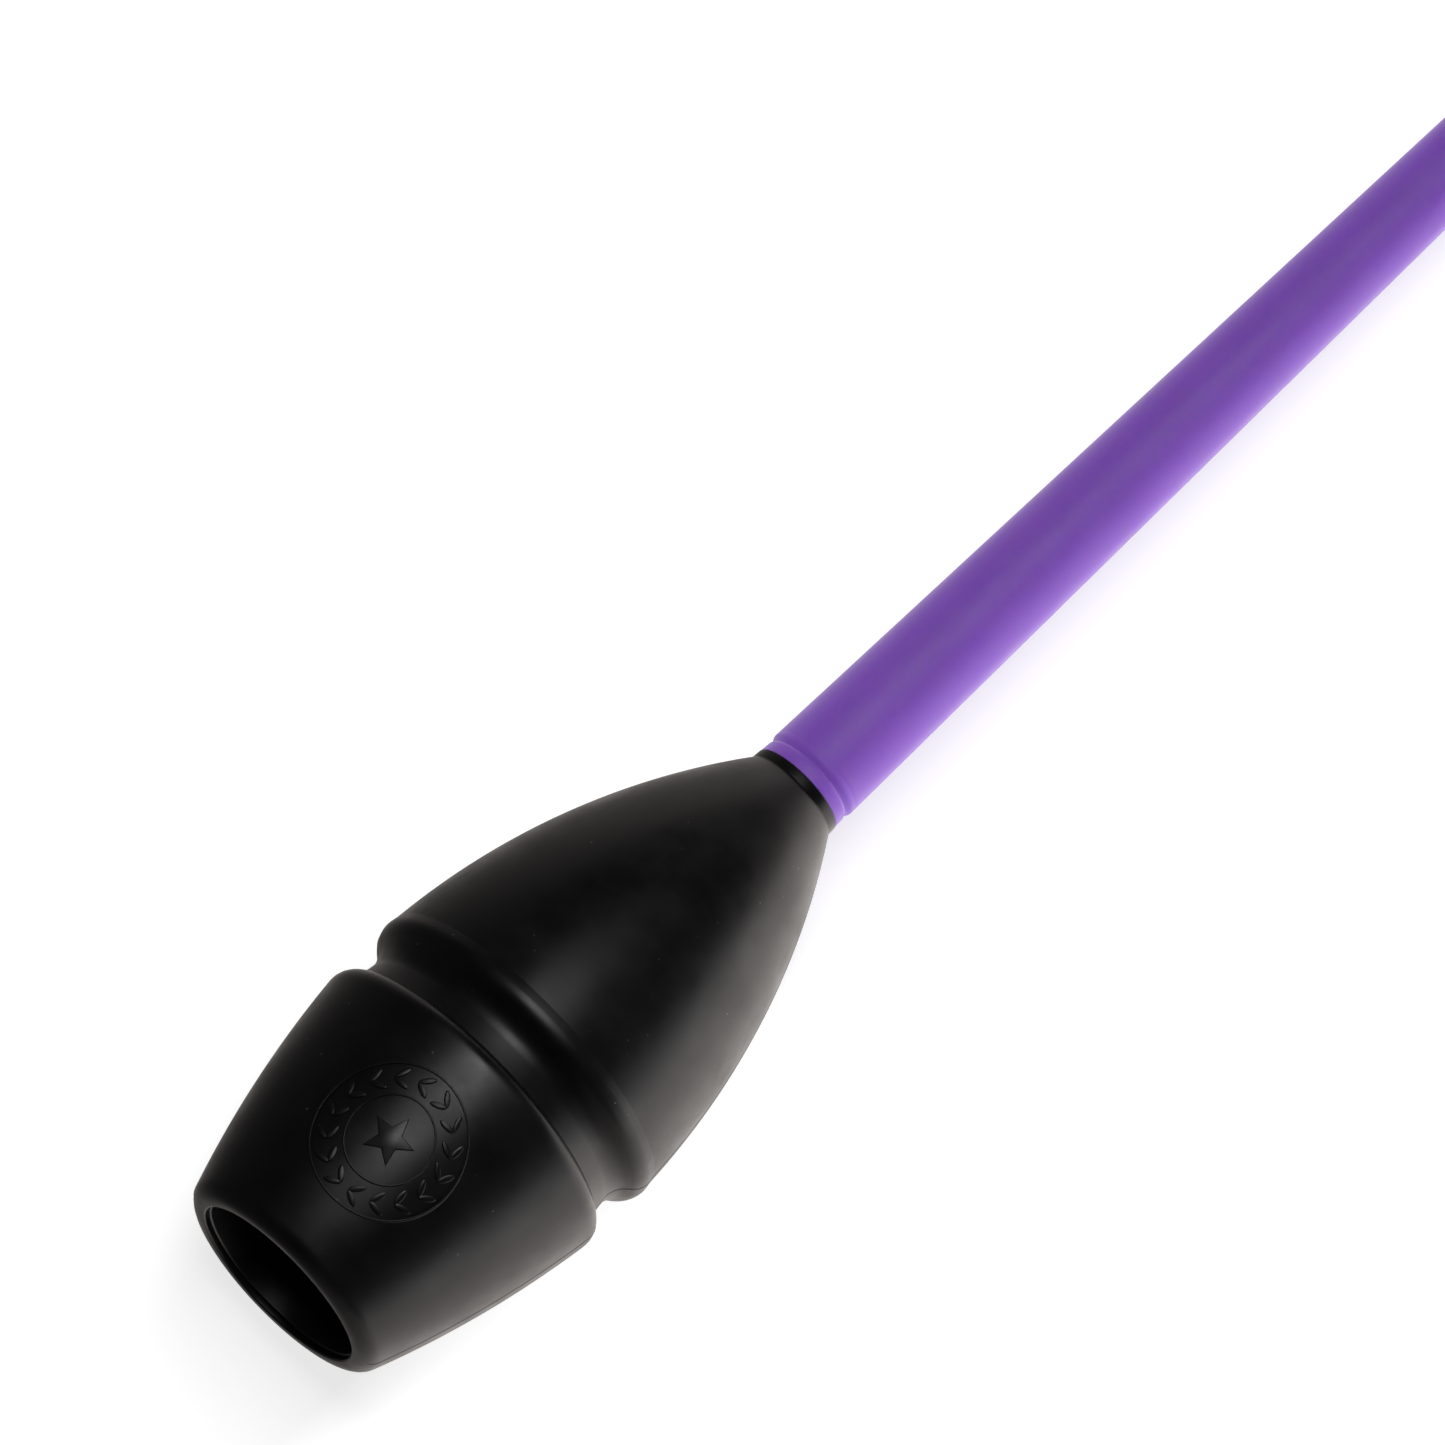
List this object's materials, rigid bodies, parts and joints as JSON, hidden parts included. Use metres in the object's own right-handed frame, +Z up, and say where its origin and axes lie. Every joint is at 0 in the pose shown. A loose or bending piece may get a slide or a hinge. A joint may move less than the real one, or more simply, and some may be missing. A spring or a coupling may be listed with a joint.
{
  "type": "connectable gymnastic juggling club",
  "caption": "Slim two-colour juggling club: hollow soft head with a ball socket in its mouth, tapered sleeve-covered neck and a ball end that snaps into another club's head.",
  "frame": {"origin": "on the surface the club lies on, under the middle of its bounding box", "axes": "+Z up as the club lies at rest, +X along the club from the mouth of its head to its ball"},
  "size_m": [0.4404, 0.0628, 0.0633],
  "materials": {
    "head_black": "satin",
    "liner_black": "satin",
    "insert_rubber": "matte",
    "ring_rubber": "matte",
    "steel": "satin",
    "inner_plastic": "matte",
    "tube_composite": "satin",
    "grip_purple": "satin",
    "ball_purple": "satin",
    "ball_black": "satin"
  },
  "bodies": {
    "root": {"head_shell": "head_black", "mouth_ring": "liner_black", "socket_cup": "liner_black", "socket_funnel": "insert_rubber", "ball_pocket": "insert_rubber", "grip_ring": "ring_rubber", "centre_screw": "steel", "screw_washer": "steel", "waist_disc": "inner_plastic", "core_tube": "tube_composite", "tube_plug": "inner_plastic", "balance_weight": "steel", "weight_stops": "ring_rubber", "neck_bush": "inner_plastic", "neck_sleeve": "grip_purple", "ball_cover": "ball_purple", "ball_core": "inner_plastic", "ball_tip": "ball_black"}
  },
  "joints": []
}
